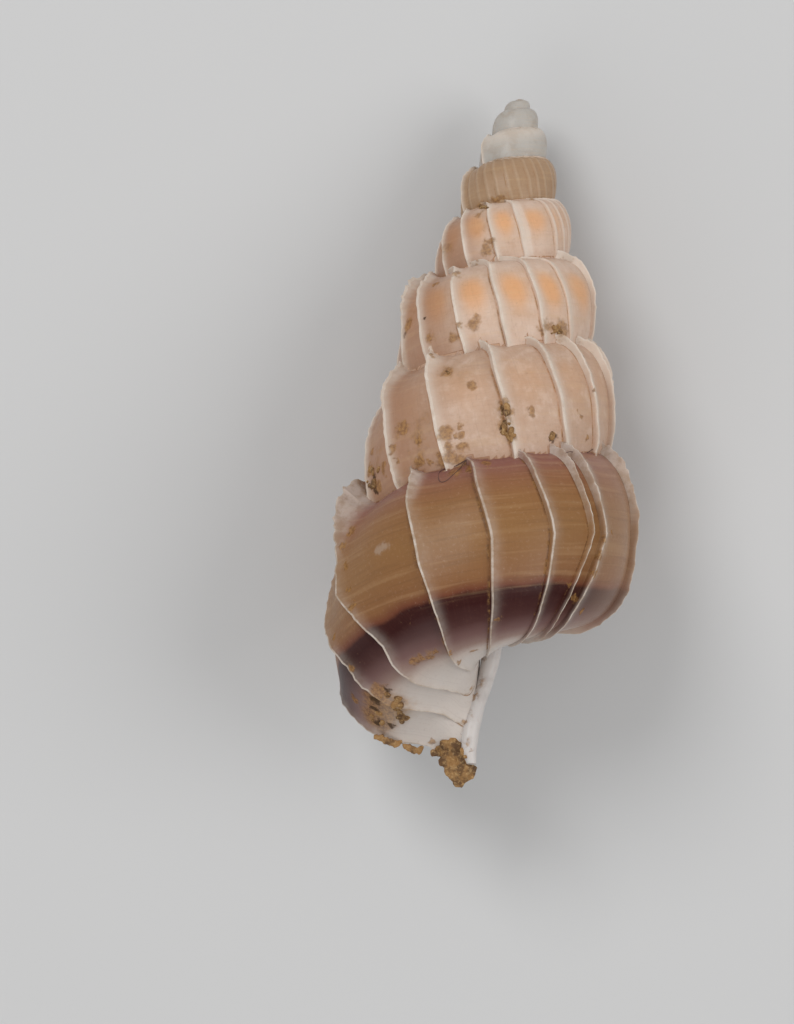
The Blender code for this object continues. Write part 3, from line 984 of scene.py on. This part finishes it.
# Clumps of dried mud: pixels across and down, reach in pixels, number of grains
CLUMPS = (
    (505, 410, 6, 12), (506, 428, 7, 14), (511, 436, 4, 6), (552, 437, 3, 6), (556, 330, 6, 9),
    (398, 704, 7, 14), (378, 718, 7, 8), (402, 716, 6, 9), (384, 694, 6, 5), (371, 484, 5, 8),
    (375, 470, 5, 8), (484, 207, 4, 6), (447, 372, 3, 3),
)
# Crust hanging at the foot of the mouth, and flakes along its edge: pixels across and down, and size
# in pixels. They are about as deep as the shell at the pixel after them.
CRUST = (
    (447, 745, 7), (454, 744, 7), (441, 751, 6), (449, 753, 8), (457, 753, 7), (446, 761, 7),
    (454, 762, 9), (463, 761, 6), (451, 770, 7), (460, 770, 9), (468, 768, 7), (456, 777, 7),
    (464, 777, 7), (470, 773, 6), (459, 783, 5), (434, 753, 4), (473, 769, 4),
)
CRUST_NEAR = (458, 764)
FLAKES = (
    (376, 737, 3), (381, 738, 4), (386, 741, 4), (391, 742, 4), (396, 744, 4), (400, 742, 3),
    (405, 746, 3), (409, 748, 4), (414, 750, 4), (419, 752, 3), (421, 748, 3),
)
FLAKES_NEAR = (400, 738)
CRUST_LUMPS = 5           # small lumps on each piece of crust
LUMP_AWAY = 0.8           # how far out they sit, how far back and how big they are, against its size
LUMP_BACK = 0.3
LUMP_SIZE = 0.4
# Threads that stick to the shell: the pixels that each runs through
THREADS = (
    ((469, 458), (466, 460), (460, 469), (453, 475), (447, 481), (441, 483), (438, 479), (439, 472),
     (445, 468), (454, 467), (461, 463), (466, 460)),
    ((566, 453), (570, 451), (573, 452)),
    ((587, 453), (590, 451), (593, 449)),
)
THREAD_RADIUS = 0.016 * MM
GRAIN = (1.5, 4.0)        # radius of a grain of mud, in pixels
GRAIN_SINK = 0.1          # how far its middle is above the shell, against its radius
GRAIN_UNEVEN = 0.35
FLATTEN = 0.45            # how much flatter a grain is than wide
NEAR_ENOUGH = 1.2 * MM    # how much deeper or nearer a crust may follow the shell
MUD_VOXEL = 0.035 * MM
MUD_SMOOTHING = 9
MUD_BUMPS = 9000
MUD_BUMP_SIZE = 0.010 * MM
SHARP_ANGLE = 38          # edges of the shell steeper than this, in degrees, are shaded sharp


def add_grain(bm, centre, normal, size, seed):
    """One uneven grain, a little flattened on to the shell."""
    made = bmesh.ops.create_icosphere(bm, subdivisions=2, radius=size)
    for vertex in made["verts"]:
        way = vertex.co.normalized()
        vertex.co *= 1.0 + GRAIN_UNEVEN * noise.noise(way * 1.9 + Vector((seed * 3.7, 0, 0)))
        vertex.co -= normal * vertex.co.dot(normal) * FLATTEN
        vertex.co += centre


def mud_object(name, camera, tree):
    """All clumps and crusts as closed lumps, joined where they touch."""
    bm = bmesh.new()
    draws = np.random.default_rng(11)
    for x, y, reach, count in CLUMPS:
        for k in range(count):
            turn = draws.uniform(0, 2 * math.pi)
            far = reach * math.sqrt(draws.uniform(0, 1))
            size = draws.uniform(*GRAIN) * PIXEL
            found = surface_at(camera, tree, x + far * math.cos(turn), y + far * math.sin(turn))
            if found:
                add_grain(bm, found[0] + found[1] * size * GRAIN_SINK, found[1], size, x + k * 1.3)
    for spots, near in ((CRUST, CRUST_NEAR), (FLAKES, FLAKES_NEAR)):
        for k, (x, y, size) in enumerate(spots):
            centre, way = beside(camera, tree, x, y, near)
            add_grain(bm, centre, way, size * PIXEL, x * 0.7)
            for extra in range(CRUST_LUMPS):
                turn = draws.uniform(0, 2 * math.pi)
                px = x + size * LUMP_AWAY * math.cos(turn)
                py = y + size * LUMP_AWAY * math.sin(turn)
                spot, _ = beside(camera, tree, px, py, near)
                lump = spot - way * size * PIXEL * LUMP_BACK
                add_grain(bm, lump, way, size * PIXEL * LUMP_SIZE, k + extra * 2.1)
    mesh = bpy.data.meshes.new(name)
    bm.to_mesh(mesh)
    bm.free()
    mud = add_object(name, mesh)
    remesh = mud.modifiers.new("join", "REMESH")
    remesh.mode = "VOXEL"
    remesh.voxel_size = MUD_VOXEL
    soften = mud.modifiers.new("soften", "SMOOTH")
    soften.iterations = MUD_SMOOTHING
    joined = finished_mesh(mud)
    mud.modifiers.clear()
    mud.data = joined
    normals = [vector.vector.copy() for vector in joined.vertex_normals]
    for vertex, normal in zip(joined.vertices, normals):
        vertex.co += normal * noise.noise(vertex.co * MUD_BUMPS) * MUD_BUMP_SIZE
    joined.materials.clear()
    joined.materials.append(dirt_material())
    joined.shade_smooth()
    return mud


def thread_objects(camera, tree):
    """Fine dark threads that stick to the shell."""
    items = []
    material = thread_material()
    for number, pixels in enumerate(THREADS):
        points = []
        for x, y in pixels:
            point, normal, _ = surface_at(camera, tree, x, y)
            points.append(point + normal * THREAD_RADIUS * 0.7)
        data = bpy.data.curves.new(f"thread_{number}", "CURVE")
        data.dimensions = "3D"
        data.bevel_depth = THREAD_RADIUS
        data.bevel_resolution = 1
        data.use_fill_caps = True
        data.resolution_u = 6
        line = data.splines.new("NURBS")
        line.points.add(len(points) - 1)
        for spot, point in zip(line.points, points):
            spot.co = (*point, 1)
        line.order_u = 3
        line.use_endpoint_u = True
        guide = add_object("guide", data)
        mesh = finished_mesh(guide)
        bpy.data.objects.remove(guide)
        mesh.materials.clear()
        mesh.materials.append(material)
        items.append(add_object(f"thread_{number}", mesh))
    return items


def spots_of(camera, tree, pixels):
    """Points on the shell and reaches, for marks given as pixels of the photograph."""
    found = []
    for x, y, reach in pixels:
        hit = surface_at(camera, tree, x, y)
        if hit:
            found.append((hit[0], reach * PIXEL))
    return found


camera = add_camera()
add_stage()
shell = make_shell()
note_points(shell)
faces = bmesh.new()
faces.from_mesh(shell.data)
tree = BVHTree.FromBMesh(faces)
faces.free()
marks = [spots_of(camera, tree, pixels) for pixels in (STAINS, DARK_DIRT_AND_SHADOWS, SCARS)]
shell.data.materials.clear()
shell.data.materials.append(shell_material(*marks))
shell.data.shade_smooth()
shell.data.set_sharp_from_angle(angle=math.radians(SHARP_ANGLE))
mud = mud_object("dried_mud", camera, tree)
threads = thread_objects(camera, tree)
bpy.context.scene.view_settings.view_transform = "Standard"

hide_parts("shell")
for item in [shell, mud] + threads:
    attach(item, "root")
